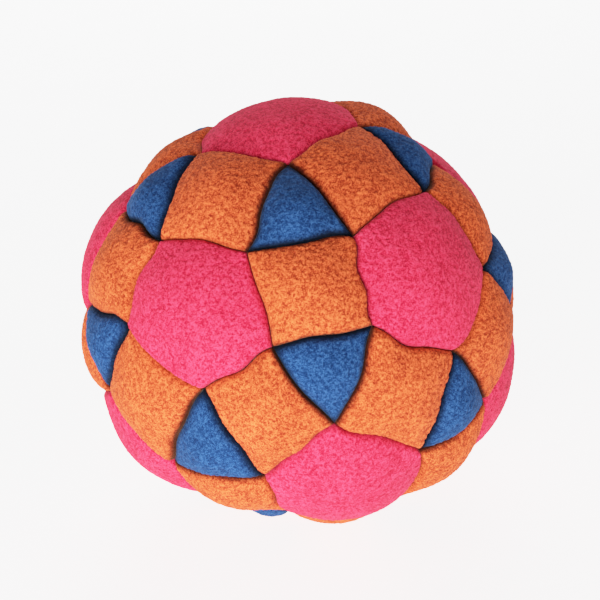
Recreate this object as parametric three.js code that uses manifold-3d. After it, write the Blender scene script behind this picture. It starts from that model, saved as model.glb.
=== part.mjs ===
// A hand-sewn bag ball: sixty-two small panels of soft suede cloth, each turned in at its edges and
// stitched to its neighbours, round a loose filling of steel shot. The panels follow a
// rhombicosidodecahedron: twelve pink pentagons, thirty orange squares and twenty blue triangles.
// Millimetres, +Z up. The origin is the middle of the flat patch that the ball rests on.
import * as THREE from "three";
import { mergeVertices } from "three/addons/utils/BufferGeometryUtils.js";
import Module from "manifold-3d";

// Driving dimensions
const BALL_DIAMETER = 57; // across the crowns of two opposite panels, before it settles
const SETTLED_HEIGHT = 0.966; // its height as a share of that, under its own weight
const PINK_CROWN = 1.25; // how far the middle of a pentagon stands above its seams
const ORANGE_CROWN = 1.2; // the same for a square
const BLUE_CROWN = 1.15; // the same for a triangle
const CLOTH_THICKNESS = 0.9; // suede cloth with its nap
const SEAM_GAP = 0.34; // open width between two turned-in edges
const ALLOWANCE_DEPTH = 2.4; // how far a turned-in edge reaches into the ball
const PINK_BOW = 0.45; // how far a pentagon's side bulges into the square next to it
const BLUE_BOW = 0.25; // the same for a triangle's side
const REST_PATCH_RADIUS = 6.2; // from the middle to the corners of the flat patch the ball rests on
const THREAD_CLEARANCE = 0.1; // between the thread and the cloth on each side of it
const THREAD_DEPTH = 1.3; // how far below the seam line the stitches run
const THREAD_HEIGHT = 0.5; // radial height of the line of stitches
const KNOT_DIAMETER = 1.1; // knot that closes the last seam, pushed inside
const KNOT_TAIL = 2.6; // cut end of thread left on the knot
const INNER_CLEARANCE = 0.3; // between the turned-in edges and what lies below them
const SHOT_CLEARANCE = 0.4; // between the rolling shot and the knot
const SHOT_DEPTH = 16.7; // depth of the pooled shot at its middle

// Derived sizes
const CROWN_RADIUS = BALL_DIAMETER / 2;
const SEAM_RADIUS = CROWN_RADIUS - PINK_CROWN;
const EDGE_RADIUS = SEAM_RADIUS - ALLOWANCE_DEPTH; // free ends of the turned-in edges
const REST_HEIGHT = Math.sqrt(CROWN_RADIUS ** 2 - REST_PATCH_RADIUS ** 2); // centre above the floor
const THREAD_WIDTH = SEAM_GAP - 2 * THREAD_CLEARANCE;
const THREAD_TOP = SEAM_RADIUS - THREAD_DEPTH;
const KNOT_RADIUS_FROM_CENTRE = EDGE_RADIUS - INNER_CLEARANCE - KNOT_DIAMETER / 2;
const SHOT_RADIUS = (KNOT_RADIUS_FROM_CENTRE - KNOT_DIAMETER / 2) * SETTLED_HEIGHT - SHOT_CLEARANCE;
const SEWN_OVERLAP = 0.3; // how far the joined panels of the base run into each other at a seam

// Shape of a panel, as fractions of the way from its middle to its seam
const SKIN_RINGS = [0.5, 0.84];
const LINING_RING = 0.7;
const REST_CORNERS = [0, 2, 5, 7]; // which of a pentagon's ten seam points stand over a corner of it
const REST_SIDE = 0.96; // how far out the points between two corners lie, 1 being on the line
const SHOT_SIDES = 24;
const SHOT_BANDS = 8;

// Angle at the ball's centre between the middle of a pentagon and its corners
const PENTAGON_SIDE_FACTOR = 1 / (2 * Math.sin(Math.PI / 5));
const SOLID_SIDE_FACTOR = Math.sqrt(11 + 4 * Math.sqrt(5)) / 2;
const CORNER_ANGLE = Math.asin(PENTAGON_SIDE_FACTOR / SOLID_SIDE_FACTOR);

const COLOURS = { pink: "#f2557f", orange: "#e27a45", blue: "#2f62a6" };
const CROWNS = { pink: PINK_CROWN, orange: ORANGE_CROWN, blue: BLUE_CROWN };

const suede = (colour) =>
  new THREE.MeshStandardMaterial({ color: COLOURS[colour], roughness: 0.95, metalness: 0 });
const mixedSuede = new THREE.MeshStandardMaterial({ color: "#e8688a", roughness: 0.95, metalness: 0 });
const steel = new THREE.MeshStandardMaterial({ color: "#8d9196", roughness: 0.4, metalness: 1 });
const thread = new THREE.MeshStandardMaterial({ color: "#2a2522", roughness: 0.8, metalness: 0 });

// ---- The pattern of panels ----

/** The twelve directions of the pentagons: one up, a ring of five, a ring of five, one down. */
function pentagonCentres() {
  const centres = [new THREE.Vector3(0, 0, 1)];
  const height = 1 / Math.sqrt(5);
  const reach = 2 / Math.sqrt(5);
  for (const side of [1, -1]) {
    for (let i = 0; i < 5; i++) {
      const turn = side * (Math.PI / 2) + (i * 2 * Math.PI) / 5;
      centres.push(new THREE.Vector3(reach * Math.cos(turn), reach * Math.sin(turn), side * height));
    }
  }
  centres.push(new THREE.Vector3(0, 0, -1));
  return centres;
}

/** The direction of a seam corner: from a pentagon's middle towards the middle of a triangle. */
function cornerDirection(pentagon, triangle) {
  const across = triangle.clone().addScaledVector(pentagon, -triangle.dot(pentagon)).normalize();
  return pentagon.clone().multiplyScalar(Math.cos(CORNER_ANGLE)).addScaledVector(across, Math.sin(CORNER_ANGLE));
}

/** Every panel as { colour, centre, corners }, its corners running anticlockwise seen from outside. */
function panelPattern() {
  const pentagons = pentagonCentres();
  const touching = (a, b) => a !== b && pentagons[a].dot(pentagons[b]) > 0.4;
  const triangles = [];
  const squares = [];
  pentagons.forEach((_, a) => {
    for (let b = a + 1; b < pentagons.length; b++) {
      if (!touching(a, b)) continue;
      squares.push({ pair: [a, b], centre: pentagons[a].clone().add(pentagons[b]).normalize() });
      for (let c = b + 1; c < pentagons.length; c++) {
        if (!touching(a, c) || !touching(b, c)) continue;
        const centre = pentagons[a].clone().add(pentagons[b]).add(pentagons[c]).normalize();
        triangles.push({ trio: [a, b, c], centre });
      }
    }
  });
  const corners = [];
  triangles.forEach((triangle, t) => {
    for (const p of triangle.trio) {
      corners.push({ pentagon: p, triangle: t, at: cornerDirection(pentagons[p], triangle.centre) });
    }
  });
  const panel = (colour, centre, belongs) => ({
    colour,
    centre,
    corners: anticlockwise(corners.filter(belongs), centre),
  });
  const hasPair = (corner, pair) =>
    pair.includes(corner.pentagon) && pair.every((p) => triangles[corner.triangle].trio.includes(p));
  return [
    ...pentagons.map((centre, p) => panel("pink", centre, (corner) => corner.pentagon === p)),
    ...squares.map(({ pair, centre }) => panel("orange", centre, (corner) => hasPair(corner, pair))),
    ...triangles.map(({ centre }, t) => panel("blue", centre, (corner) => corner.triangle === t)),
  ];
}

/** Corners put in order round a centre. */
function anticlockwise(corners, centre) {
  const first = corners[0].at.clone().addScaledVector(centre, -corners[0].at.dot(centre)).normalize();
  const second = centre.clone().cross(first);
  const turn = ({ at }) => Math.atan2(at.dot(second), at.dot(first));
  return [...corners].sort((a, b) => turn(a) - turn(b));
}

/** The seam points round a panel: its corners, and the bowed middle of each side between them. */
function outline(panel) {
  const points = [];
  panel.corners.forEach((corner, i) => {
    const next = panel.corners[(i + 1) % panel.corners.length];
    points.push({ at: corner.at, key: cornerKey(corner), corner: true });
    points.push({ ...sideMiddle(corner, next), corner: false });
  });
  return points;
}

const cornerKey = (corner) => `${corner.pentagon}_${corner.triangle}`;

/** Every side has a square on one hand. The pink or blue panel on the other bulges into it. */
function sideMiddle(a, b) {
  const middle = a.at.clone().add(b.at).normalize();
  const bulges = a.pentagon === b.pentagon ? PENTAGONS[a.pentagon] : TRIANGLES[a.triangle];
  const bow = a.pentagon === b.pentagon ? PINK_BOW : BLUE_BOW;
  const away = middle.clone().addScaledVector(bulges, -middle.dot(bulges)).normalize();
  const angle = bow / SEAM_RADIUS;
  const at = away.addScaledVector(middle, -away.dot(middle)).normalize().multiplyScalar(Math.sin(angle));
  at.addScaledVector(middle, Math.cos(angle));
  return { at, key: [cornerKey(a), cornerKey(b)].sort().join("+") };
}

const PATTERN = panelPattern();
const PENTAGONS = PATTERN.filter(({ colour }) => colour === "pink").map(({ centre }) => centre);
const TRIANGLES = PATTERN.filter(({ colour }) => colour === "blue").map(({ centre }) => centre);
const BASE_CORNERS = `${PENTAGONS.length - 1}_`; // how the key of each corner of the lowest pentagon starts

// ---- Closed solids from rings of points ----

/** The same distance from every side of an outline, as a function of the seam point. */
const evenInset = (inset) => () => ({ before: inset, after: inset });

/**
 * A point that stands inside the seam line. Each stretch of an outline lies in a plane through the
 * ball's centre, and the point keeps its inset to the plane before it and to the plane after it.
 */
function insetPoint(points, i, radius, insetAt) {
  const n = points.length;
  const planeBefore = wallNormal(points[(i + n - 1) % n], points[i]);
  const planeAfter = wallNormal(points[i], points[(i + 1) % n]);
  const { before, after } = insetAt(i);
  const lean = planeBefore.dot(planeAfter);
  const shift = new THREE.Vector3();
  if (points[i].corner) {
    const spread = 1 - lean * lean;
    shift.addScaledVector(planeBefore, (before - lean * after) / spread);
    shift.addScaledVector(planeAfter, (after - lean * before) / spread);
  } else {
    shift.add(planeBefore).add(planeAfter).multiplyScalar(after / (1 + lean));
  }
  const along = Math.sqrt(radius * radius - shift.lengthSq());
  return points[i].at.clone().multiplyScalar(along).add(shift);
}

const wallNormal = (a, b) => a.at.clone().cross(b.at).normalize();

/** A ring of points at one radius and one inset. */
const wallRing = (points, radius, insetAt) => points.map((_, i) => insetPoint(points, i, radius, insetAt));

/** A closed geometry: a fan at each end of a stack of rings with the same number of points. */
function stackedRings(startPoint, rings, endPoint) {
  const vertices = [startPoint, ...rings.flat(), endPoint];
  const n = rings[0].length;
  const last = vertices.length - 1;
  const faces = [];
  for (let i = 0; i < n; i++) {
    const j = (i + 1) % n;
    faces.push(0, 1 + i, 1 + j);
    for (let r = 0; r + 1 < rings.length; r++) {
      const upper = 1 + r * n;
      const lower = upper + n;
      faces.push(upper + i, lower + i, lower + j);
      faces.push(upper + i, lower + j, upper + j);
    }
    const foot = 1 + (rings.length - 1) * n;
    faces.push(last, foot + j, foot + i);
  }
  return indexedGeometry(vertices, faces);
}

function indexedGeometry(vertices, faces) {
  const geometry = new THREE.BufferGeometry();
  geometry.setAttribute("position", new THREE.Float32BufferAttribute(vertices.flatMap((v) => v.toArray()), 3));
  geometry.setIndex(faces);
  return geometry;
}

/** Height of the puffed skin above the seams, full at the middle and steep near the seam. */
const puff = (crown, reach) => crown * Math.sqrt(1 - reach ** 4);

/** A ring of skin at a fraction of the way from the panel's middle to its rim. */
function skinRing(panel, rim, reach, radius) {
  return rim.map((point) =>
    panel.centre.clone().lerp(point.clone().normalize(), reach).normalize().multiplyScalar(radius),
  );
}

/** One panel: a puffed skin, edges turned in all round, and the hollow under it open to the inside. */
function panelGeometry(panel, insetAt = evenInset(SEAM_GAP / 2), restPatch = null) {
  const points = outline(panel);
  const crown = CROWNS[panel.colour];
  const innerInset = (i) => {
    const { before, after } = insetAt(i);
    return { before: before + CLOTH_THICKNESS, after: after + CLOTH_THICKNESS };
  };
  const rim = wallRing(points, SEAM_RADIUS, insetAt);
  const lining = SEAM_RADIUS - CLOTH_THICKNESS;
  const liningRim = wallRing(points, lining, innerInset);
  const skin = restPatch
    ? [restPatch(rim, 0)]
    : SKIN_RINGS.map((reach) => skinRing(panel, rim, reach, SEAM_RADIUS + puff(crown, reach)));
  const under = restPatch
    ? restPatch(rim, CLOTH_THICKNESS)
    : skinRing(panel, liningRim, LINING_RING, lining + puff(crown, LINING_RING));
  const crownHeight = restPatch ? REST_HEIGHT : SEAM_RADIUS + crown;
  const rings = [
    ...skin,
    rim,
    wallRing(points, EDGE_RADIUS, insetAt),
    wallRing(points, EDGE_RADIUS, innerInset),
    liningRim,
    under,
  ];
  const top = panel.centre.clone().multiplyScalar(crownHeight);
  const bottom = panel.centre.clone().multiplyScalar(crownHeight - CLOTH_THICKNESS);
  return stackedRings(top, rings, bottom);
}

// ---- The joined panels that the ball rests on ----

/**
 * A level ring of the rest patch, `lift` above the floor, one point below each rim point. The ball
 * stands on four corners, and the points between two corners stay a little inside the line from one
 * to the other.
 */
function restRing(rim, lift) {
  const corner = (i) => new THREE.Vector3(rim[i].x, rim[i].y, 0).setLength(REST_PATCH_RADIUS);
  return rim.map((_, i) => {
    const side = REST_CORNERS.findLastIndex((start) => start <= i);
    const start = REST_CORNERS[side];
    const end = REST_CORNERS[side + 1] ?? rim.length;
    const point = corner(start).lerp(corner(end % rim.length), (i - start) / (end - start));
    return point.multiplyScalar(i === start ? 1 : REST_SIDE).setZ(-REST_HEIGHT + lift);
  });
}

/** The lowest pentagon and the five squares sewn to it, as one solid. */
async function baseRosetteGeometry() {
  const wasm = await Module();
  wasm.setup();
  const solid = (geometry) => {
    const merged = mergeVertices(geometry);
    return new wasm.Manifold(
      new wasm.Mesh({
        numProp: 3,
        vertProperties: merged.attributes.position.array,
        triVerts: Uint32Array.from(merged.index.array),
      }),
    );
  };
  let rosette = null;
  for (const panel of PATTERN.filter(isInRosette)) {
    const patch = isBasePentagon(panel) ? restRing : null;
    const piece = solid(panelGeometry(panel, rosetteInset(panel), patch));
    rosette = rosette ? rosette.add(piece) : piece;
  }
  const mesh = rosette.getMesh();
  const geometry = new THREE.BufferGeometry();
  geometry.setAttribute("position", new THREE.BufferAttribute(mesh.vertProperties, 3));
  geometry.setIndex(new THREE.BufferAttribute(mesh.triVerts, 1));
  return geometry;
}

/**
 * Inside the rosette the panels run into each other along their sewn sides. The pentagon's corners
 * stay back, because the thread of the outer seam passes them.
 */
function rosetteInset(panel) {
  const points = outline(panel);
  const open = SEAM_GAP / 2;
  const sewn = -SEWN_OVERLAP / 2;
  if (isBasePentagon(panel)) return (i) => evenInset(points[i].corner ? open : sewn)();
  const insets = points.map((_, i) => {
    const ends = [points[i - (i % 2)], points[(i - (i % 2) + 2) % points.length]];
    return ends.every(({ key }) => key.startsWith(BASE_CORNERS)) ? sewn : open;
  });
  return (i) => ({ before: insets.at(i - 1), after: insets[i] });
}

const isBasePentagon = ({ colour, centre }) => colour === "pink" && centre.z < -0.99;
const isInRosette = (panel) => isBasePentagon(panel) || (panel.colour === "orange" && panel.centre.z < -0.8);

// ---- Thread, knot and filling ----

/** The rosette's outer seam: its squares' free sides in order, with no seam points inside it. */
function rosetteOutline() {
  const after = new Map();
  for (const panel of PATTERN.filter(isInRosette)) {
    const points = outline(panel);
    points.forEach((point, i) => {
      const next = points[(i + 1) % points.length];
      after.set(`${point.key}>${next.key}`, { point, next });
    });
  }
  const free = [...after.values()].filter(({ point, next }) => !after.has(`${next.key}>${point.key}`));
  const loop = [free[0].point];
  while (loop.length < free.length) {
    loop.push(free.find(({ point }) => point.key === loop.at(-1).key).next);
  }
  return loop;
}

/** The stitches as one net: a flat line of thread along every open seam, joined at the corners. */
function seamThreadGeometry() {
  const loops = [...PATTERN.filter((panel) => !isInRosette(panel)).map(outline), rosetteOutline()];
  const vertices = [];
  const faces = [];
  const wedge = new Map(); // for each loop and seam point, the index of its upper vertex
  loops.forEach((points, l) => {
    const upper = wallRing(points, THREAD_TOP, evenInset(THREAD_WIDTH / 2));
    const lower = wallRing(points, THREAD_TOP - THREAD_HEIGHT, evenInset(THREAD_WIDTH / 2));
    points.forEach((point, i) => {
      wedge.set(`${l}:${point.key}`, vertices.length);
      vertices.push(upper[i], lower[i]);
    });
  });
  const halves = new Map(); // which loop a stretch of seam belongs to, by its two ends in order
  loops.forEach((points, l) =>
    points.forEach((point, i) => halves.set(`${point.key}>${points[(i + 1) % points.length].key}`, l)),
  );
  const LOWER = 1;
  const quad = (a, b, c, d) => faces.push(a, b, c, a, c, d);
  for (const [stretch, l] of halves) {
    const [from, to] = stretch.split(">");
    const across = halves.get(`${to}>${from}`);
    const [a, b] = [wedge.get(`${l}:${from}`), wedge.get(`${l}:${to}`)];
    quad(a, b, b + LOWER, a + LOWER);
    if (l < across) {
      const [c, d] = [wedge.get(`${across}:${to}`), wedge.get(`${across}:${from}`)];
      quad(b, a, d, c);
      quad(a + LOWER, b + LOWER, c + LOWER, d + LOWER);
    }
  }
  for (const star of crossings(loops, halves)) {
    const ring = star.loops.map((l) => wedge.get(`${l}:${star.key}`));
    for (let i = 1; i + 1 < ring.length; i++) {
      faces.push(ring[0], ring[i], ring[i + 1]);
      faces.push(ring[0] + LOWER, ring[i + 1] + LOWER, ring[i] + LOWER);
    }
  }
  return indexedGeometry(vertices, faces);
}

/** The seam corners where three or more loops meet, with those loops in order round the corner. */
function crossings(loops, halves) {
  const found = new Map();
  loops.forEach((points, l) =>
    points.forEach((point, i) => {
      if (found.has(point.key)) return;
      const around = [];
      let loop = l;
      let at = i;
      do {
        around.push(loop);
        const before = loops[loop].at((at - 1 + loops[loop].length) % loops[loop].length);
        loop = halves.get(`${point.key}>${before.key}`);
        at = loops[loop].findIndex(({ key }) => key === point.key);
      } while (loop !== l);
      found.set(point.key, { key: point.key, loops: around });
    }),
  );
  return [...found.values()].filter(({ loops: around }) => around.length > 2);
}

/** A lathe about the local z axis, from a profile of [radius, height] pairs that ends on the axis. */
function turned(profile, sides) {
  const points = profile.map(([radius, height]) => new THREE.Vector2(radius, height));
  const lathe = new THREE.LatheGeometry(points, sides).rotateX(Math.PI / 2);
  lathe.deleteAttribute("normal");
  lathe.deleteAttribute("uv");
  return mergeVertices(lathe, 1e-5);
}

/** A round knot with a short tapering tail of cut thread lying beside it. */
function knotGeometry() {
  const radius = KNOT_DIAMETER / 2;
  const profile = [[0, -radius]];
  for (const turn of [-50, -15, 20, 50]) {
    const angle = THREE.MathUtils.degToRad(turn);
    profile.push([radius * Math.cos(angle), radius * Math.sin(angle)]);
  }
  profile.push([radius / 3, radius * 1.1], [radius / 4, KNOT_TAIL - radius], [0, KNOT_TAIL - radius]);
  return turned(profile, 8);
}

/** The filling pooled at the bottom: the part of a sphere below a level top. */
function shotGeometry() {
  const level = SHOT_DEPTH - SHOT_RADIUS;
  const topAngle = Math.asin(level / SHOT_RADIUS);
  const profile = [[0, -SHOT_RADIUS]];
  for (let band = 1; band <= SHOT_BANDS; band++) {
    const angle = -Math.PI / 2 + ((topAngle + Math.PI / 2) * band) / SHOT_BANDS;
    profile.push([SHOT_RADIUS * Math.cos(angle), SHOT_RADIUS * Math.sin(angle)]);
  }
  profile.push([0, level]);
  return turned(profile, SHOT_SIDES);
}

// ---- The ball ----

/** A plain name for a panel from its colour, its height on the ball and its turn round it. */
function panelNames() {
  const bands = [
    [0.99, "crown_middle"],
    [0.7, "crown"],
    [0.4, "upper"],
    [0.1, "upper_girdle"],
    [-0.1, "girdle"],
    [-0.4, "lower_girdle"],
    [-0.7, "lower"],
    [-1.1, "base"],
  ];
  const bandOf = ({ z }) => bands.find(([floor]) => z > floor)[1];
  const groups = new Map();
  for (const panel of PATTERN) {
    const group = `${panel.colour}_${bandOf(panel.centre)}`;
    groups.set(group, [...(groups.get(group) ?? []), panel]);
  }
  const names = new Map();
  for (const [group, panels] of groups) {
    const round = ({ centre }) => (Math.atan2(centre.y, centre.x) + 2.001 * Math.PI) % (2 * Math.PI);
    const ordered = [...panels].sort((a, b) => round(a) - round(b));
    ordered.forEach((panel, i) => names.set(panel, panels.length > 1 ? `${group}_${i + 1}` : group));
  }
  return names;
}

function named(name, geometry, material) {
  const mesh = new THREE.Mesh(geometry, material);
  mesh.name = name;
  return mesh;
}

// The cover settles as a whole; the loose shot inside keeps its round outline.
const cover = new THREE.Group();
cover.scale.z = SETTLED_HEIGHT;

const names = panelNames();
for (const panel of PATTERN.filter((each) => !isInRosette(each))) {
  cover.add(named(names.get(panel), panelGeometry(panel), suede(panel.colour)));
}
cover.add(named("base_rosette", await baseRosetteGeometry(), mixedSuede));
cover.add(named("seam_thread", seamThreadGeometry(), thread));

// The knot hangs below a seam of the highest panel, its tail lying along the inside of the seam.
const knot = named("closing_knot", knotGeometry(), thread);
const [knotSeamStart, knotSeamEnd] = PATTERN[0].corners;
knot.position.copy(sideMiddle(knotSeamStart, knotSeamEnd).at).multiplyScalar(KNOT_RADIUS_FROM_CENTRE);
knot.quaternion.setFromUnitVectors(
  new THREE.Vector3(0, 0, 1),
  knotSeamEnd.at.clone().sub(knotSeamStart.at).normalize(),
);
cover.add(knot);

const ball = new THREE.Group();
ball.position.z = REST_HEIGHT * SETTLED_HEIGHT;
ball.add(cover, named("steel_shot", shotGeometry(), steel));

export default ball;
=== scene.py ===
"""A hand-sewn bag ball of sixty-two puffed suede panels, loosely filled with steel shot."""
import math

import bpy
import numpy as np
from mathutils import Matrix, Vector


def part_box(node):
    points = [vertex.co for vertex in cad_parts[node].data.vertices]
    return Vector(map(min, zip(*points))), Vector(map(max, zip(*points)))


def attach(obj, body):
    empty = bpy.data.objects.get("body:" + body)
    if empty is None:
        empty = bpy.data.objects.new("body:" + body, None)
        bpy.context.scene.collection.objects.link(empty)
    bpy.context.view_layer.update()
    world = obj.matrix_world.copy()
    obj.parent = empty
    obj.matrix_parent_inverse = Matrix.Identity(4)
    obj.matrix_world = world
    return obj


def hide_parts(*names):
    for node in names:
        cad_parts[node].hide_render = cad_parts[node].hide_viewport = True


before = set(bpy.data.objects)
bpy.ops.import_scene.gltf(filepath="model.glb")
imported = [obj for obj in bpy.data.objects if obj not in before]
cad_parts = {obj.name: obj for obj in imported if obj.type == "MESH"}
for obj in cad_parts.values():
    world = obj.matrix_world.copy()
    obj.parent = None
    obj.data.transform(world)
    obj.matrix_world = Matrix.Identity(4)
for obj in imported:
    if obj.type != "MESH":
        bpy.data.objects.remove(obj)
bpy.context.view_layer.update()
MM = 0.001

# ---- Sizes of the ball, in millimetres, as the frame's solids have them ----

PINK_CROWN = 1.25  # how far the middle of a panel stands above its seams
ORANGE_CROWN = 1.2
BLUE_CROWN = 1.15
CROWN_RADIUS = 28.5
SETTLED_HEIGHT = 0.966  # the height the cover keeps, as a share, under its own weight
REST_PATCH_RADIUS = 6.2
SEAM_RADIUS = CROWN_RADIUS - PINK_CROWN
REST_HEIGHT = SETTLED_HEIGHT * math.sqrt(CROWN_RADIUS**2 - REST_PATCH_RADIUS**2)  # the middle's
ALLOWANCE_DEPTH = 2.4
CLOTH_THICKNESS = 0.8
PINK_BOW = 0.55
BLUE_BOW = 0.3
SHOT_RADIUS = 22.25  # what the loose shot sweeps as it rolls
SHOT_DEPTH = 16.7

# ---- Camera ----

CAMERA_AZIMUTH = 4.62  # degrees clockwise from looking along +Y, seen from above
CAMERA_ELEVATION = 25.3
CAMERA_ROLL = 8.05  # the ball's upright axis leans to the left in the view
CAMERA_DISTANCE = 6.7 * SEAM_RADIUS
BALL_SHARE = 0.691  # of the view's width that the ball's seam sphere spans
BALL_DROP = 0.0202  # the ball's middle below the view's, as a share of its width


def add_camera():
    """A camera on a sphere round the ball's middle, turned about its own line of sight by the roll."""
    azimuth, elevation = math.radians(CAMERA_AZIMUTH), math.radians(CAMERA_ELEVATION)
    look = np.array(
        [
            math.sin(azimuth) * math.cos(elevation),
            math.cos(azimuth) * math.cos(elevation),
            -math.sin(elevation),
        ]
    )
    level = np.array([math.cos(azimuth), -math.sin(azimuth), 0.0])
    upward = np.cross(level, look)
    roll = math.radians(CAMERA_ROLL)
    right = math.cos(roll) * level - math.sin(roll) * upward
    up = math.sin(roll) * level + math.cos(roll) * upward
    centre = np.array([0.0, 0.0, REST_HEIGHT])
    place = (centre - look * CAMERA_DISTANCE) * MM
    data = bpy.data.cameras.new("camera")
    camera = bpy.data.objects.new("camera", data)
    bpy.context.scene.collection.objects.link(camera)
    turn = np.identity(4)
    turn[:3, 0], turn[:3, 1], turn[:3, 2], turn[:3, 3] = right, up, -look, place
    camera.matrix_world = Matrix(turn.tolist())
    data.sensor_width = 36.0
    data.lens = data.sensor_width * BALL_SHARE * CAMERA_DISTANCE / (2 * SEAM_RADIUS)
    data.shift_y = BALL_DROP
    data.clip_start = 0.01
    bpy.context.scene.camera = camera


add_camera()

# ---- The pattern of seams ----

rng = np.random.default_rng(62)


def unit(v):
    """Vectors scaled to length one along their last axis."""
    return v / np.linalg.norm(v, axis=-1, keepdims=True)


def pentagon_directions():
    """One direction up, a ring of five, a ring of five turned half a step, and one down."""
    height, reach = 1 / math.sqrt(5), 2 / math.sqrt(5)
    rings = []
    for side in (1, -1):
        turns = side * math.pi / 2 + np.arange(5) * 2 * math.pi / 5
        rings.append(np.stack([reach * np.cos(turns), reach * np.sin(turns), np.full(5, side * height)], 1))
    return np.concatenate([[[0, 0, 1.0]], rings[0], rings[1], [[0, 0, -1.0]]])


PENTAGONS = pentagon_directions()
NEIGHBOURS = PENTAGONS @ PENTAGONS.T > 0.4
TRIOS = [
    (a, b, c)
    for a in range(12)
    for b in range(a + 1, 12)
    for c in range(b + 1, 12)
    if NEIGHBOURS[a, b] and NEIGHBOURS[b, c] and NEIGHBOURS[a, c]
]
TRIANGLES = unit(np.array([PENTAGONS[list(trio)].sum(0) for trio in TRIOS]))
CORNER_ANGLE = math.asin((1 / (2 * math.sin(math.pi / 5))) / (math.sqrt(11 + 4 * math.sqrt(5)) / 2))
SIDE = 2 * SEAM_RADIUS / math.sqrt(11 + 4 * math.sqrt(5))  # length of a straight seam
CORNER_DRIFT = 0.26  # mm, how far hand sewing puts a corner off its true place
PULLED = {  # corners the sewing pulled further: by pentagon and triangle, mm east and north
    (0, 2): (-1.0, 0.5),
    (0, 4): (1.0, 0.0),
    (2, 8): (-1.0, -1.5),
    (3, 3): (-0.5, -0.5),
    (4, 3): (-0.5, -0.75),
    (4, 10): (0.0, 0.5),
    (3, 8): (0.5, 0.75),
    (3, 11): (2.0, 1.5),
    (6, 10): (0.0, -0.2),
    (6, 11): (0.8, -1.3),
    (6, 13): (0.5, -1.9),
    (6, 15): (1.5, -2.6),
    (6, 16): (-0.5, -1.8),
    (7, 15): (0.0, -1.3),
    (10, 11): (-0.5, -1.6),
    (10, 16): (-0.5, -1.7),
    (11, 15): (0.5, -1.0),
    (11, 16): (0.0, -1.0),
}


def corner_table():
    """Each seam corner lies from a pentagon's middle towards a triangle's, with a small drift, or
    with the pull of a corner that is well off its place."""
    table = {}
    for t, trio in enumerate(TRIOS):
        for p in trio:
            across = unit(TRIANGLES[t] - PENTAGONS[p] * (TRIANGLES[t] @ PENTAGONS[p]))
            true = math.cos(CORNER_ANGLE) * PENTAGONS[p] + math.sin(CORNER_ANGLE) * across
            shift = rng.normal(0, CORNER_DRIFT, 3)
            if (p, t) in PULLED:
                east = unit(np.cross([0, 0, 1.0], true))
                shift = PULLED[p, t][0] * east + PULLED[p, t][1] * np.cross(true, east)
            table[p, t] = unit(true + shift / SEAM_RADIUS)
    return table


CORNERS = corner_table()


class Panel:
    """One panel: its colour, its middle, and its corners anticlockwise seen from outside."""

    def __init__(self, colour, centre, keys):
        first = unit(CORNERS[keys[0]] - centre * (CORNERS[keys[0]] @ centre))
        second = np.cross(centre, first)
        turn = {k: math.atan2(CORNERS[k] @ second, CORNERS[k] @ first) for k in keys}
        self.colour = colour
        self.true_centre = centre
        self.keys = sorted(keys, key=turn.get)
        self.centre = unit(sum(CORNERS[k] for k in keys))


def all_panels():
    """Twelve pentagons, a square between each two neighbours, and a triangle among each three."""
    panels = []
    for p in range(12):
        panels.append(Panel("pink", PENTAGONS[p], [k for k in CORNERS if k[0] == p]))
    for a in range(12):
        for b in range(a + 1, 12):
            if NEIGHBOURS[a, b]:
                keys = [k for k in CORNERS if k[0] in (a, b) and {a, b} <= set(TRIOS[k[1]])]
                panels.append(Panel("orange", unit(PENTAGONS[a] + PENTAGONS[b]), keys))
    for t in range(len(TRIOS)):
        panels.append(Panel("blue", TRIANGLES[t], [k for k in CORNERS if k[1] == t]))
    return panels


SEAM_WAVER = 0.22  # mm, the seam's small wander from a fair curve, per wave
WAVER_FALL = (1.0, 1.3, 1.8, 2.4)  # how many times smaller each shorter wave is
seam_waves = {}


def seam_curve(key_a, key_b, s):
    """A seam from corner a to corner b at fractions s: the shortest arc on the sphere, bowed into the
    square beside it like a sine arch, plus a few small sine waves that vanish at both ends."""
    low, high = sorted((key_a, key_b))
    if (low, high) not in seam_waves:
        seam_waves[low, high] = rng.normal(0, SEAM_WAVER, len(WAVER_FALL)) / np.array(WAVER_FALL)
    fraction = s if key_a == low else 1 - s
    a, b = CORNERS[low], CORNERS[high]
    angle = math.acos(a @ b)
    arc = np.sin((1 - fraction) * angle)[:, None] * a + np.sin(fraction * angle)[:, None] * b
    arc /= math.sin(angle)
    pink = low[0] == high[0]
    bulges = PENTAGONS[low[0]] if pink else TRIANGLES[low[1]]
    middle = unit(a + b)
    away = unit(np.cross(a, b))
    away = away if (middle - bulges) @ away > 0 else -away
    bow = (PINK_BOW if pink else BLUE_BOW) * np.sin(math.pi * fraction)
    for wave, size in enumerate(seam_waves[low, high]):
        bow = bow + size * np.sin((wave + 1) * math.pi * fraction)
    return unit(arc + (bow / SEAM_RADIUS)[:, None] * away)


# ---- Smooth noise in space ----


SCRAMBLE = (374761393, 668265263, 2147483647)  # large odd numbers, one for each lattice index
SCRAMBLE_SEED, SCRAMBLE_AGAIN = 974634777, 1274126177


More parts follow.
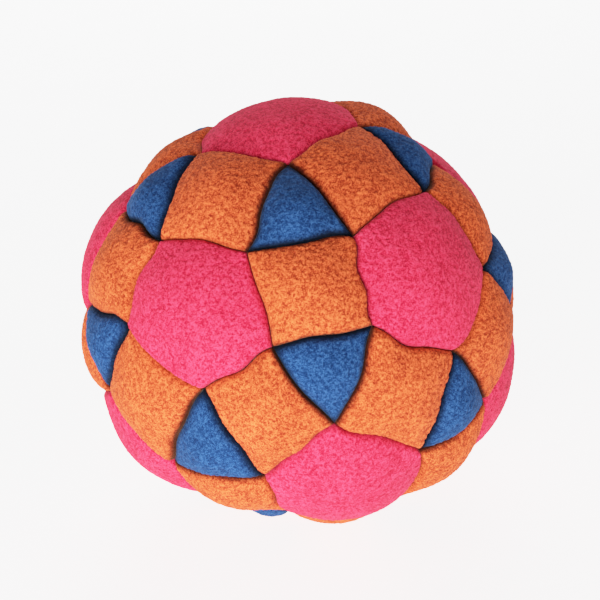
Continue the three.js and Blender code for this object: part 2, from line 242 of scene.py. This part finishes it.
def lattice_noise(points, wavelength, seed):
    """Smooth random heights between about -1 and 1 at points in space: random values on a cubic
    lattice a wavelength apart, blended between the eight nearest with an S-shaped weight."""
    grid = points / wavelength
    cell = np.floor(grid).astype(np.int64)
    part = grid - cell
    part = part * part * part * (part * (part * 6 - 15) + 10)
    total = np.zeros(len(points))
    for dx in (0, 1):
        for dy in (0, 1):
            for dz in (0, 1):
                n = (cell[:, 0] + dx) * SCRAMBLE[0] + (cell[:, 1] + dy) * SCRAMBLE[1]
                n = n + (cell[:, 2] + dz) * SCRAMBLE[2] + seed * SCRAMBLE_SEED
                n = (n ^ (n >> 13)) * SCRAMBLE_AGAIN
                value = ((n ^ (n >> 16)) & 0xFFFFFF) / 0x7FFFFF - 1.0
                wx = part[:, 0] if dx else 1 - part[:, 0]
                wy = part[:, 1] if dy else 1 - part[:, 1]
                wz = part[:, 2] if dz else 1 - part[:, 2]
                total += value * wx * wy * wz
    return total


ASKEW = np.array([[2, -1, 2], [2, 2, -1], [-1, 2, 2]]) / 3.0  # a turn that lines up with no axis

# ---- A panel's cloth ----

ROLL = {"pink": 0.8, "orange": 0.85, "blue": 0.8}  # mm, radius of the rolled-over edge
CROWN = {"pink": PINK_CROWN, "orange": ORANGE_CROWN, "blue": BLUE_CROWN}
GRID = {"pink": 60, "orange": 48, "blue": 44}  # cells from a seam to the panel's middle
INRADIUS = {n: SIDE / (2 * math.tan(math.pi / n)) for n in (3, 4, 5)}
SEAM_SLACK = 0.05  # mm, half the space between two panels below the roll
SEAM_SINK = 0.9  # mm, how far the pulled thread draws the seam into the ball
LUMP_WAVE, LUMP_HEIGHT = 6.0, 0.2  # mm, shot pressing the cloth out unevenly
PUCKER_WAVE, PUCKER_HEIGHT, PUCKER_REACH = 2.6, 0.16, 1.9  # mm, gathers where the thread pulls
NAP_WAVE = 0.26  # mm, tufts of the suede's nap
NAP_HEIGHT = {"pink": 0.05, "orange": 0.07, "blue": 0.06}
NAP_SECOND = 0.8  # the second layer's wavelength and height, as shares of the first's
NAP_START = 0.3  # mm from a seam, where the nap has its full height
HEIGHT_DRIFT = 0.12  # mm, how unevenly the panels stand
TILT_DRIFT = 0.16  # mm at the edge, how far a panel leans to one side
PAINTED_SEAM_SHADE = {"pink": (0.3, 0.25), "blue": (0.95, 0.38)}  # by seam: how dark the painted shade beside it is, and over how many mm of cloth


def edge_profile(count, radius, reach):
    """Distance in from the seam and height above it at even steps of cloth: a quarter circle that
    rises straight up from the seam and rolls over, then level cloth to the middle."""
    roll = math.pi / 2 * radius
    along = np.linspace(0, 1, count + 1) * (roll + reach - radius)
    turn = np.minimum(along / radius, math.pi / 2)
    inward = np.where(along < roll, radius * (1 - np.cos(turn)), radius + along - roll)
    return inward / reach, np.sin(turn)


def panel_grid(panel):
    """The skin as n square patches, one at each corner of the panel. A patch's first direction leads
    away from the seam before its corner and its second away from the seam after it, both ending at the
    panel's middle. Its points are blended from its four sides: two half seams and two straight spokes.
    Returns unit directions, the roll's height, the dome's height, the distance from a seam, and the
    painted seam shade: how light the cloth is painted beside the seams, one less a Gaussian of the
    distance from each of the two."""
    n = len(panel.keys)
    radius = ROLL[panel.colour]
    reach, rise = edge_profile(GRID[panel.colour], radius, INRADIUS[n])
    u, v = np.meshgrid(reach, reach, indexing="ij")
    roll = rise[:, None] * rise[None, :]
    dome = u * (2 - u) * v * (2 - v)
    near = np.minimum(u, v) * INRADIUS[n]
    away = u * INRADIUS[n], v * INRADIUS[n]
    u, v = u[..., None], v[..., None]
    patches, light = [], []
    for i, here in enumerate(panel.keys):
        after, before = panel.keys[(i + 1) % n], panel.keys[i - 1]
        ahead = seam_curve(here, after, reach / 2)
        back = seam_curve(here, before, reach / 2)
        spoke_ahead = ahead[-1] + reach[:, None] * (panel.centre - ahead[-1])
        spoke_back = back[-1] + reach[:, None] * (panel.centre - back[-1])
        sides = (1 - v) * ahead[:, None] + v * spoke_back[:, None] + (1 - u) * back + u * spoke_ahead
        ends = (1 - u) * ((1 - v) * ahead[0] + v * back[-1]) + u * ((1 - v) * ahead[-1] + v * panel.centre)
        patches.append(unit(sides - ends))
        # Painted shade beside each seam: the cloth is darkened in a Gaussian band, near black beside the
        # blue triangles, standing in for the shade in the groove.
        painted_shade_sizes = [PAINTED_SEAM_SHADE["pink" if here[0] == other[0] else "blue"] for other in (before, after)]
        shades = [1 - dark * np.exp(-((d / wide) ** 2)) for (dark, wide), d in zip(painted_shade_sizes, away)]
        light.append(shades[0] * shades[1])
    roll, dome, near = (np.broadcast_to(a, (n, *a.shape)) for a in (roll, dome, near))
    return np.array(patches), roll, dome, near, np.array(light)


def patch_faces(n, count):
    """Quads of the n patches, and the rim round them. The last row of a patch runs up the same spoke
    as the last column of the next patch, and takes that column's points."""
    width = count + 1
    index = np.arange(n * width * width).reshape(n, width, width)
    index[:, -1, :] = np.roll(index, -1, axis=0)[:, :, -1]
    index[:, -1, -1] = index[0, -1, -1]
    quads = np.stack([index[:, :-1, :-1], index[:, 1:, :-1], index[:, 1:, 1:], index[:, :-1, 1:]], -1)
    rim = np.concatenate([index[:, 0, :0:-1], index[:, :-1, 0]], axis=1).ravel()
    used, renumbered = np.unique(quads, return_inverse=True)
    return used, renumbered.reshape(-1, 4), np.searchsorted(used, rim)


def vertex_normals(points, quads):
    """Outward normals: the summed normals of the quads round each point."""
    a, b, c, d = (points[quads[:, k]] for k in range(4))
    normal = np.cross(c - a, d - b)
    total = np.stack(
        [
            sum(np.bincount(quads[:, k], normal[:, axis], len(points)) for k in range(4))
            for axis in range(3)
        ],
        1,
    )
    return unit(total)


def nap_height(points, seed):
    """Tufts of nap: two layers of smooth noise, the second on a turned lattice and a little finer."""
    coarse = lattice_noise(points @ ASKEW, NAP_WAVE, seed)
    fine = lattice_noise(points @ ASKEW.T, NAP_SECOND * NAP_WAVE, seed + 1)
    return coarse + NAP_SECOND * fine


def skin_points(panel, seed):
    """The outer skin: sunk seam, rolled edge, dome, lean, lumps, gathers at the seams, then nap."""
    directions, *layers = panel_grid(panel)
    used, quads, rim = patch_faces(len(panel.keys), GRID[panel.colour])
    directions = directions.reshape(-1, 3)[used]
    roll, dome, near, light = (a.reshape(-1)[used] for a in layers)
    inradius = INRADIUS[len(panel.keys)]
    directions = unit(directions + (panel.centre - directions) * SEAM_SLACK / inradius)
    flat = directions * SEAM_RADIUS
    radius = ROLL[panel.colour]
    lean = directions @ unit(np.cross(panel.centre, rng.normal(0, 1, 3))) * SEAM_RADIUS / inradius
    edge = radius + rng.normal(0, HEIGHT_DRIFT) + lean * rng.normal(0, TILT_DRIFT)
    height = edge * roll - SEAM_SINK
    height += (CROWN[panel.colour] + SEAM_SINK - radius) * dome
    height += LUMP_HEIGHT * lattice_noise(flat, LUMP_WAVE, 5) * dome
    gather = np.exp(-near / PUCKER_REACH) * np.sqrt(roll)
    height += PUCKER_HEIGHT * lattice_noise(flat, PUCKER_WAVE, seed + 7) * gather
    points = directions * (SEAM_RADIUS + height)[:, None]
    nap = nap_height(points, seed)
    tufts = NAP_HEIGHT[panel.colour] * nap * np.clip(near / NAP_START, 0.0, 1.0)
    points = points + vertex_normals(points, quads) * tufts[:, None]
    return points, quads, rim, nap, light, directions


ALLOWANCE_LEAN = 0.04  # mm, how far the turned-in edge leans from its neighbour
ALLOWANCE_STEPS = (0.12, 0.35, 0.7, 1.0)  # share of the way down the turned-in edge
LINING_STEPS = (0.0, 0.25, 0.6, 0.85)  # share of the way from the turned-in edge to the middle
LINING_RISE = (0.0, 0.42, 0.8, 0.94)  # how much of the dome's height the cloth's back has there
LINING_INSET = 0.3  # mm, how far in from the turned-in edge the cloth's back begins
LINING_DROP = 1.2  # mm, how far below the seam sphere it begins
PAINTED_SHADE_IN_SEAMS = 0.15  # how light the cloth is painted down in the seams, as a share: painted shade on the turned-in edges and the cloth's back
POLE = 0.99  # the height, on a sphere of radius one, past which only one panel lies


def panel_points(panel, seed):
    """The skin, then rings down the turned-in edge's outside, back up its inside, and across the
    cloth's back to a single point, which closes the panel."""
    points, quads, rim, nap, light, directions = skin_points(panel, seed)
    inradius = INRADIUS[len(panel.keys)]
    edge = directions[rim]

    def ring(inset, radius):
        return unit(edge + (panel.centre - edge) * inset / inradius) * radius

    thickness = CLOTH_THICKNESS
    seam = SEAM_RADIUS - SEAM_SINK
    depth = ALLOWANCE_DEPTH - SEAM_SINK
    rings = [ring(ALLOWANCE_LEAN * step, seam - depth * step) for step in ALLOWANCE_STEPS]
    rings += [ring(thickness, seam - depth * step) for step in ALLOWANCE_STEPS[::-1]]
    back_height = CROWN[panel.colour] - thickness + LINING_DROP
    for step, rise in zip(LINING_STEPS, LINING_RISE):
        inset = thickness + LINING_INSET + step * (inradius - thickness - LINING_INSET)
        rings.append(ring(inset, SEAM_RADIUS - LINING_DROP + back_height * rise))
    pole = panel.centre * (SEAM_RADIUS - LINING_DROP + back_height)
    first, width = len(points), len(rim)
    loops = [rim] + [first + k * width + np.arange(width) for k in range(len(rings))]
    last = first + len(rings) * width
    walls = []
    for upper, lower in zip(loops, loops[1:]):
        walls.append(np.stack([upper, lower, np.roll(lower, -1), np.roll(upper, -1)], 1))
    foot = loops[-1]
    fan = np.stack([np.full(width, last), np.roll(foot, -1), foot], 1)
    points = settled(np.concatenate([points, *rings, pole[None]]))
    hidden = len(points) - first
    floor = np.repeat([0.0, thickness], [first, hidden]) - REST_HEIGHT
    if panel.true_centre[2] < -POLE:
        points[:, 2] = np.maximum(points[:, 2], floor)
    # Painted shade: the turned-in edges and the cloth's back, down in the seams, are darkened to a fixed
    # share.
    layers = np.pad(nap, (0, hidden)), np.pad(light, (0, hidden), constant_values=PAINTED_SHADE_IN_SEAMS)
    return points, [quads, *walls, fan], layers


# ---- The ball as it lies ----

NAP_STAND = 0.3  # mm, how far the brushed nap stands out of the solid cloth
BULGES = (  # loose filling: azimuth and elevation of each bulge, its height in mm, its spread
    (-36, -34, 0.9, 0.45),
    (-127, -53, -1.6, 0.32),
    (-54, -55, -0.9, 0.25),
    (-82, -46, 0.8, 0.3),
    (33, 65, 1.1, 0.4),
    (-3, 23, -0.8, 0.35),
    (172, 27, 0.5, 0.35),
    (154, 54, -0.4, 0.3),
    (95, -10, 0.5, 0.5),
    (9, 45, -0.9, 0.3),
)


def settled(points):
    """The cover as it lies: the nap's stand and the bulges added along the radius, each a Gaussian of
    the distance from its middle as a share of the ball's radius, then the whole lowered by its
    weight."""
    outward = unit(points)
    swell = np.full(len(points), NAP_STAND)
    for azimuth, elevation, height, spread in BULGES:
        a, e = math.radians(azimuth), math.radians(elevation)
        middle = np.array([math.cos(a) * math.cos(e), math.sin(a) * math.cos(e), math.sin(e)])
        swell += height * np.exp(-((outward - middle) ** 2).sum(1) / spread**2)
    return (points + outward * swell[:, None]) * [1, 1, SETTLED_HEIGHT]


# ---- Meshes ----


def make_mesh(name, points, faces, material):
    """A mesh object at the origin, from points in millimetres round the ball's middle and lists of
    faces with the same number of corners."""
    mesh = bpy.data.meshes.new(name)
    corners = np.concatenate([np.asarray(f).ravel() for f in faces])
    sizes = np.concatenate([np.full(len(f), f.shape[1]) for f in faces])
    placed = (points + [0, 0, REST_HEIGHT]) * MM
    mesh.vertices.add(len(points))
    mesh.vertices.foreach_set("co", placed.astype(np.float32).ravel())
    mesh.loops.add(len(corners))
    mesh.loops.foreach_set("vertex_index", corners.astype(np.int32))
    mesh.polygons.add(len(sizes))
    mesh.polygons.foreach_set("loop_start", (np.cumsum(sizes) - sizes).astype(np.int32))
    mesh.polygons.foreach_set("use_smooth", np.full(len(sizes), True))
    mesh.update(calc_edges=True)
    mesh.materials.append(material)
    piece = bpy.data.objects.new(name, mesh)
    bpy.context.scene.collection.objects.link(piece)
    return piece


# ---- Materials ----


def linear(colour):
    """A colour written as six hex digits of sRGB, as linear red, green, blue and alpha."""
    parts = [int(colour[i : i + 2], 16) / 255 for i in (1, 3, 5)]
    return [c / 12.92 if c <= 0.04045 else ((c + 0.055) / 1.055) ** 2.4 for c in parts] + [1.0]


def node(tree, kind, settings=None, inputs=None, **links):
    """Adds a node, sets its properties and sockets, and links named sockets from other nodes' outputs."""
    made = tree.nodes.new("ShaderNode" + kind)
    for name, value in (settings or {}).items():
        setattr(made, name, value)
    for name, value in (inputs or {}).items():
        made.inputs[name].default_value = value
    for name, (source, output) in links.items():
        tree.links.new(source.outputs[output], made.inputs[name.replace("_", " ")])
    return made


def new_material(name):
    """A material with an empty node tree, and the tree."""
    material = bpy.data.materials.new(name)
    material.use_nodes = True
    material.node_tree.nodes.clear()
    return material, material.node_tree


def ramp(tree, stops, source, output="Fac"):
    """A colour ramp with stops of place and linear colour."""
    made = node(tree, "ValToRGB", Fac=(source, output))
    elements = made.color_ramp.elements
    while len(elements) < len(stops):
        elements.new(0.5)
    for element, (place, colour) in zip(elements, stops):
        element.position = place
        element.color = colour
    return made


TUFT = 0.18  # mm, one tuft of nap
FIBRE = 0.12  # mm, a clump of some eight fibres
TWIST = 0.2  # mm, a turn of the thread's strands
TARNISH = 1.1  # mm, duller places on the shot
STAIN = 5.0  # mm, patches where the nap lies the other way
PIT_SHADE_SHARE, TUFT_SHARE, FIBRE_SHARE = 0.15, 0.45, 0.4  # of the nap's change of tone; the pits' share darkens where the nap sinks, painted shade in the pits over the cloth's grain


def suede(name, deep, body, tip, sheen, contrast):
    """Synthetic suede, a brushed microfibre cloth: matt, with pits of deeper colour between paler
    tufts, partly the cloth's grain and partly painted shade in the pits, patches where the nap leans
    another way, painted shade on the cloth beside and down in the seams, and a soft halo of fibre
    ends at its edges."""
    material, tree = new_material(name)
    place = node(tree, "TexCoord")
    nap = node(tree, "Attribute", {"attribute_name": "nap"})
    # Painted seam shade: the light attribute, which darkens the cloth beside and down in the seams.
    light = node(tree, "Attribute", {"attribute_name": "light"})
    fibre = node(
        tree,
        "TexNoise",
        inputs={"Scale": 1 / (FIBRE * MM), "Detail": 2.0, "Roughness": 0.6},
        Vector=(place, "Object"),
    )
    tuft = node(
        tree,
        "TexNoise",
        inputs={"Scale": 1 / (TUFT * MM), "Detail": 2.0, "Roughness": 0.6, "Distortion": 1.2},
        Vector=(place, "Object"),
    )
    stain = node(
        tree, "TexNoise", inputs={"Scale": 1 / (STAIN * MM), "Detail": 2.0}, Vector=(place, "Object")
    )
    # Painted shade in the nap's pits: darker where the nap's height is low, on top of the cloth's own
    # grain.
    pit_shade = node(tree, "MapRange", inputs={"From Min": -1.2, "From Max": 1.2}, Value=(nap, "Fac"))
    grain = node(tree, "Math", {"operation": "MULTIPLY"}, {1: FIBRE_SHARE})
    tree.links.new(fibre.outputs["Fac"], grain.inputs[0])
    weave = node(tree, "Math", {"operation": "MULTIPLY_ADD"}, {1: TUFT_SHARE})
    tree.links.new(tuft.outputs["Fac"], weave.inputs[0])
    tree.links.new(grain.outputs["Value"], weave.inputs[2])
    blend = node(tree, "Math", {"operation": "MULTIPLY_ADD"}, {1: PIT_SHADE_SHARE})
    tree.links.new(pit_shade.outputs["Result"], blend.inputs[0])
    tree.links.new(weave.outputs["Value"], blend.inputs[2])
    spread = 0.5 * contrast
    stops = [(0.5 - spread, linear(deep)), (0.5, linear(body)), (0.5 + spread, linear(tip))]
    tones = ramp(tree, stops, blend, "Value")
    lean = ramp(tree, [(0.35, [0.88, 0.88, 0.88, 1]), (0.65, [1, 1, 1, 1])], stain)
    mixed = node(tree, "Mix", {"data_type": "RGBA", "blend_type": "MULTIPLY"}, {"Factor": 1.0})
    tree.links.new(tones.outputs["Color"], mixed.inputs["A"])
    tree.links.new(lean.outputs["Color"], mixed.inputs["B"])
    # The cloth's tone scaled by the painted seam shade.
    shaded = node(tree, "VectorMath", {"operation": "SCALE"})
    tree.links.new(mixed.outputs["Result"], shaded.inputs["Vector"])
    tree.links.new(light.outputs["Fac"], shaded.inputs["Scale"])
    bump = node(tree, "Bump", inputs={"Strength": 0.6, "Distance": 0.08 * MM}, Height=(fibre, "Fac"))
    surface = node(
        tree,
        "BsdfPrincipled",
        inputs={
            "Roughness": 0.95,
            "Specular IOR Level": 0.1,
            "Sheen Weight": 0.12,
            "Sheen Roughness": 0.4,
            "Sheen Tint": linear(sheen),
        },
        Normal=(bump, "Normal"),
    )
    tree.links.new(shaded.outputs["Vector"], surface.inputs["Base Color"])
    node(tree, "OutputMaterial", Surface=(surface, "BSDF"))
    return material


SUEDES = {
    "pink": suede("pink microfibre suede", "#ac112c", "#f32b48", "#ff4262", "#ff90a8", 0.135),
    "orange": suede("orange microfibre suede", "#8c2812", "#d44b26", "#ff6c3a", "#ffb080", 0.135),
    "blue": suede("blue microfibre suede", "#0a2048", "#173868", "#30568e", "#90b4f0", 0.18),
}


def thread_material():
    """Waxed polyester thread: near black, twisted, with a dull waxy shine."""
    material, tree = new_material("waxed polyester thread")
    place = node(tree, "TexCoord")
    twist = node(
        tree, "TexNoise", inputs={"Scale": 1 / (TWIST * MM), "Detail": 1.0}, Vector=(place, "Object")
    )
    tones = ramp(tree, [(0.3, linear("#15110f")), (0.7, linear("#3a302b"))], twist)
    bump = node(tree, "Bump", inputs={"Strength": 0.4, "Distance": 0.04 * MM}, Height=(twist, "Fac"))
    surface = node(tree, "BsdfPrincipled", inputs={"Roughness": 0.55}, Normal=(bump, "Normal"))
    tree.links.new(tones.outputs["Color"], surface.inputs["Base Color"])
    node(tree, "OutputMaterial", Surface=(surface, "BSDF"))
    return material


def shot_material():
    """Tumbled steel shot: grey, softly shining, dulled by handling and a little darker in places."""
    material, tree = new_material("tumbled steel shot")
    place = node(tree, "TexCoord")
    dull = node(
        tree, "TexNoise", inputs={"Scale": 1 / (TARNISH * MM), "Detail": 3.0}, Vector=(place, "Object")
    )
    tones = ramp(tree, [(0.3, linear("#6e7276")), (0.7, linear("#a9adb1"))], dull)
    rough = node(tree, "MapRange", inputs={"To Min": 0.28, "To Max": 0.48}, Value=(dull, "Fac"))
    surface = node(tree, "BsdfPrincipled", inputs={"Metallic": 1.0}, Roughness=(rough, "Result"))
    tree.links.new(tones.outputs["Color"], surface.inputs["Base Color"])
    node(tree, "OutputMaterial", Surface=(surface, "BSDF"))
    return material


THREAD = thread_material()
STEEL = shot_material()

# ---- The cover ----


def panel_name(panel, number):
    """The frame's name for a panel: its colour, its height on the ball and its turn round it."""
    z = panel.true_centre[2]
    bands = (
        (POLE, "crown_middle"),
        (0.7, "crown"),
        (0.4, "upper"),
        (0.1, "upper_girdle"),
        (-0.1, "girdle"),
        (-0.4, "lower_girdle"),
        (-0.7, "lower"),
        (-POLE, "base"),
        (-1.1, "base_middle"),
    )
    band = next(name for floor, name in bands if z > floor)
    return f"{panel.colour}_{band}" + ("" if band.endswith("middle") else f"_{number}")


def numbered(panels):
    """Panels of one colour and height, numbered anticlockwise from +X as the frame numbers them."""
    groups = {}
    for panel in panels:
        groups.setdefault((panel.colour, round(panel.true_centre[2], 3)), []).append(panel)
    for members in groups.values():
        turn = lambda panel: math.atan2(panel.true_centre[1], panel.true_centre[0]) % (2 * math.pi - 1e-6)
        for number, panel in enumerate(sorted(members, key=turn), 1):
            yield panel_name(panel, number), panel


def sew_panels():
    """All sixty-two panels, each built as a mesh of cloth stretched over the filling by its seams."""
    for seed, (name, panel) in enumerate(numbered(all_panels())):
        points, faces, layers = panel_points(panel, 100 + 10 * seed)
        in_rosette = "_base" in name and panel.colour != "blue"
        piece = make_mesh(f"{name}_panel", points, faces, SUEDES[panel.colour])
        # nap: the nap's height, also used for painted shade in its pits; light: the painted seam shade.
        for title, values in zip(("nap", "light"), layers):
            layer = piece.data.attributes.new(title, "FLOAT", "POINT")
            layer.data.foreach_set("value", values.astype(np.float32))
        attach(piece, "shell")
        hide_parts("base_rosette" if in_rosette else name)


sew_panels()

# ---- Thread ----

THREAD_RADIUS = 0.16  # mm
THREAD_DEPTH = 1.7  # mm below the seam sphere, where the stitches run
STITCH_RISE, STITCH_SWAY = 0.3, 0.22  # mm, half a stitch's height and width
STITCHES = 5  # to a seam
STITCH_STEPS = 8
SEAM_END = 0.03  # share of a seam left without stitches at each end
KNOT_SIZE = 0.17  # mm, a third of the knot's radius


def tube(path, radius, sides=6):
    """A closed tube: a circle round each point of a path, square to it, and a fan over each end."""
    along = unit(np.gradient(path, axis=0))
    side = unit(np.cross(along, unit(path)))
    other = np.cross(side, along)
    turn = 2 * math.pi * np.arange(sides) / sides
    around = np.cos(turn)[:, None] * side[:, None] + np.sin(turn)[:, None] * other[:, None]
    points = np.concatenate([(path[:, None] + radius * around).reshape(-1, 3), path[[0, -1]]])
    ring = np.arange(len(path) * sides).reshape(len(path), sides)
    ahead = np.roll(ring, -1, axis=1)
    walls = np.stack([ring[:-1], ahead[:-1], ahead[1:], ring[1:]], -1).reshape(-1, 4)
    first, last = len(points) - 2, len(points) - 1
    start = np.stack([np.full(sides, first), ahead[0], ring[0]], 1)
    end = np.stack([np.full(sides, last), ring[-1], ahead[-1]], 1)
    return points, walls, np.concatenate([start, end])


def joined(parts):
    """Several meshes of points, quads and triangles as one."""
    offsets = np.cumsum([0] + [len(points) for points, _, _ in parts[:-1]])
    points = np.concatenate([part[0] for part in parts])
    quads = np.concatenate([part[1] + offset for part, offset in zip(parts, offsets)])
    triangles = np.concatenate([part[2] + offset for part, offset in zip(parts, offsets)])
    return points, [quads, triangles]


def stitch_path(key_a, key_b):
    """Whipped stitches: a helix about the seam, deep under the roll, one turn to a stitch."""
    s = np.linspace(SEAM_END, 1 - SEAM_END, STITCHES * STITCH_STEPS + 1)
    line = seam_curve(key_a, key_b, s)
    across = unit(np.cross(line, np.gradient(line, axis=0)))
    turn = 2 * math.pi * STITCHES * s
    radius = SEAM_RADIUS - THREAD_DEPTH + STITCH_RISE * np.sin(turn)
    return line * radius[:, None] + across * (STITCH_SWAY * np.cos(turn))[:, None]


def knot_path():
    """A trefoil, three lobes that pass over and under each other, open where the cut end leaves it
    along the seam."""
    t = np.linspace(0.0, 2 * math.pi * 0.97, 64)
    reach = 2 + np.cos(3 * t)
    loop = KNOT_SIZE * np.stack([reach * np.cos(2 * t), reach * np.sin(2 * t), np.sin(3 * t)], 1)
    tail = loop[-1] + np.linspace(0.05, 1.0, 14)[:, None] * [1.5, 0.1, 0.2]
    return np.concatenate([loop, tail])


def sew_thread():
    """The hidden stitches along all the seams as one piece, and the knot that ends them."""
    seams = {tuple(sorted(pair)) for _, panel in numbered(all_panels())
             for pair in zip(panel.keys, panel.keys[1:] + panel.keys[:1])}
    points, faces = joined([tube(stitch_path(*pair), THREAD_RADIUS) for pair in sorted(seams)])
    stitches = make_mesh("stitches", settled(points), faces, THREAD)
    low, high = (np.array(corner, dtype=float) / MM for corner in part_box("closing_knot"))
    middle = (low + high) / 2 - [0, 0, REST_HEIGHT]
    points, faces = joined([tube(knot_path() + middle, THREAD_RADIUS)])
    knot = make_mesh("knot", points, faces, THREAD)
    for piece, replaced in ((stitches, "seam_thread"), (knot, "closing_knot")):
        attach(piece, "shell")
        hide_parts(replaced)


sew_thread()

# ---- Filling ----

SHOT_PITCH = 1.62  # mm between the middles of neighbouring beads
SHOT_SMALLEST = 0.55  # the smallest bead's share of the largest


def bead_shape():
    """An eight-sided double pyramid with each face cut in four and its points put on a sphere."""
    tips = np.array([[1, 0, 0], [0, 1, 0], [-1, 0, 0], [0, -1, 0], [0, 0, 1], [0, 0, -1]], float)
    faces = [(i, (i + 1) % 4, 4) for i in range(4)] + [((i + 1) % 4, i, 5) for i in range(4)]
    pairs = sorted({tuple(sorted(pair)) for a, b, c in faces for pair in ((a, b), (b, c), (c, a))})
    halfway = {pair: 6 + k for k, pair in enumerate(pairs)}
    points = np.concatenate([tips, [unit(tips[a] + tips[b]) for a, b in pairs]])
    cut = []
    for a, b, c in faces:
        ab, bc, ca = (halfway[tuple(sorted(pair))] for pair in ((a, b), (b, c), (c, a)))
        cut += [(a, ab, ca), (ab, b, bc), (ca, bc, c), (ab, bc, ca)]
    return points, np.array(cut)


def pour_shot():
    """Beads of mixed sizes on a close-packed lattice, every second layer over the hollows of the
    last, kept where they lie inside the bag and under the level top, each a little off its place."""
    steps = np.arange(-16, 17)
    i, j, k = (grid.ravel() for grid in np.meshgrid(steps, steps, steps, indexing="ij"))
    odd = k % 2
    middles = SHOT_PITCH * np.stack(
        [i + 0.5 * (j % 2) + 0.5 * odd, math.sqrt(3) / 2 * j + odd / math.sqrt(12), math.sqrt(2 / 3) * k], 1
    )
    radii = SHOT_PITCH / 2 * rng.uniform(SHOT_SMALLEST, 1.0, len(middles))
    middles += rng.uniform(-1, 1, middles.shape) * (SHOT_PITCH / 2 - radii)[:, None] * 0.6
    inside = np.linalg.norm(middles, axis=1) + radii < SHOT_RADIUS
    inside &= middles[:, 2] + radii < SHOT_DEPTH - SHOT_RADIUS
    middles, radii = middles[inside], radii[inside]
    shape, faces = bead_shape()
    points = middles[:, None] + radii[:, None, None] * shape
    triangles = faces[None] + len(shape) * np.arange(len(middles))[:, None, None]
    beads = make_mesh("shot_beads", points.reshape(-1, 3), [triangles.reshape(-1, 3)], STEEL)
    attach(beads, "shot")
    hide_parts("steel_shot")


pour_shot()

# ---- Stage ----


WHITE = 2.45  # how bright the floor and the surround are, which the film curve turns to pale grey
FLOOR_GLOW = 0.84  # share of that which the floor gives by itself, as a board lit from below
SKY = 0.2  # how brightly the surround lights the ball from above
FLOOR_REACH = 4000.0  # mm from the middle to each side


def stage():
    """A pale floor that glows like a lit board, and a pale surround that lights the ball weakly."""
    material, tree = new_material("pale painted board")
    place = node(tree, "TexCoord")
    mottle = node(tree, "TexNoise", inputs={"Scale": 40.0, "Detail": 2.0}, Vector=(place, "Object"))
    tones = ramp(tree, [(0.3, linear("#b4b4b4")), (0.7, linear("#b8b8b8"))], mottle)
    lit = {"Roughness": 0.9, "Specular IOR Level": 0.0, "Emission Color": [1, 1, 1, 1]}
    surface = node(tree, "BsdfPrincipled", inputs={**lit, "Emission Strength": WHITE * FLOOR_GLOW})
    tree.links.new(tones.outputs["Color"], surface.inputs["Base Color"])
    node(tree, "OutputMaterial", Surface=(surface, "BSDF"))
    corners = FLOOR_REACH * np.array([[-1, -1, 0], [1, -1, 0], [1, 1, 0], [-1, 1, 0]])
    floor = make_mesh("floor", corners - [0, 0, REST_HEIGHT], [np.array([[0, 1, 2, 3]])], material)
    world = bpy.data.worlds.new("studio")
    bpy.context.scene.world = world
    world.use_nodes = True
    sky = world.node_tree
    sky.nodes.clear()
    seen = node(sky, "LightPath")
    strength = node(sky, "MapRange", inputs={"To Min": SKY, "To Max": WHITE}, Value=(seen, "Is Camera Ray"))
    backdrop = node(sky, "Background", Strength=(strength, "Result"))
    backdrop.inputs["Color"].default_value = [1, 1, 1, 1]
    node(sky, "OutputWorld", Surface=(backdrop, "Background"))


def lamp(name, azimuth, elevation, distance, size, power):
    """A softbox on a sphere round the ball, facing its middle. Its size is a width and a height in
    metres, and its azimuth is measured as the camera's."""
    a, e = math.radians(azimuth), math.radians(elevation)
    outward = np.array([-math.sin(a) * math.cos(e), -math.cos(a) * math.cos(e), math.sin(e)])
    data = bpy.data.lights.new(name, "AREA")
    data.shape = "RECTANGLE"
    data.size, data.size_y = size
    data.energy = power
    light = bpy.data.objects.new(name, data)
    light.visible_camera = False
    bpy.context.scene.collection.objects.link(light)
    side = unit(np.cross([0, 0, 1.0], outward))
    place = outward * distance + [0, 0, REST_HEIGHT * MM]
    turn = np.identity(4)
    turn[:3, 0], turn[:3, 1], turn[:3, 2], turn[:3, 3] = side, np.cross(outward, side), outward, place
    light.matrix_world = Matrix(turn.tolist())


def film_curve():
    """A soft shoulder, as film and print have: what shows is one less e to the minus brightness, so
    bright cloth keeps its colour and dark cloth deepens."""
    view = bpy.context.scene.view_settings
    view.view_transform = "Standard"
    view.use_curve_mapping = True
    mapping = view.curve_mapping
    brightest = 4.0
    mapping.white_level = (brightest, brightest, brightest)
    curve = mapping.curves[3]
    for place in (0.03, 0.07, 0.12, 0.2, 0.3, 0.45, 0.7):
        curve.points.new(place, 1 - math.exp(-brightest * place))
    curve.points[-1].location = (1.0, 1 - math.exp(-brightest))
    mapping.update()


stage()
lamp("low strip", CAMERA_AZIMUTH + 25, -4, 0.16, (0.16, 0.03), 0.42)
lamp("key", CAMERA_AZIMUTH + 15, 12, 0.6, (0.3, 0.3), 4.0)
lamp("back fill", CAMERA_AZIMUTH + 190, 35, 0.6, (0.4, 0.4), 4.0)
film_curve()
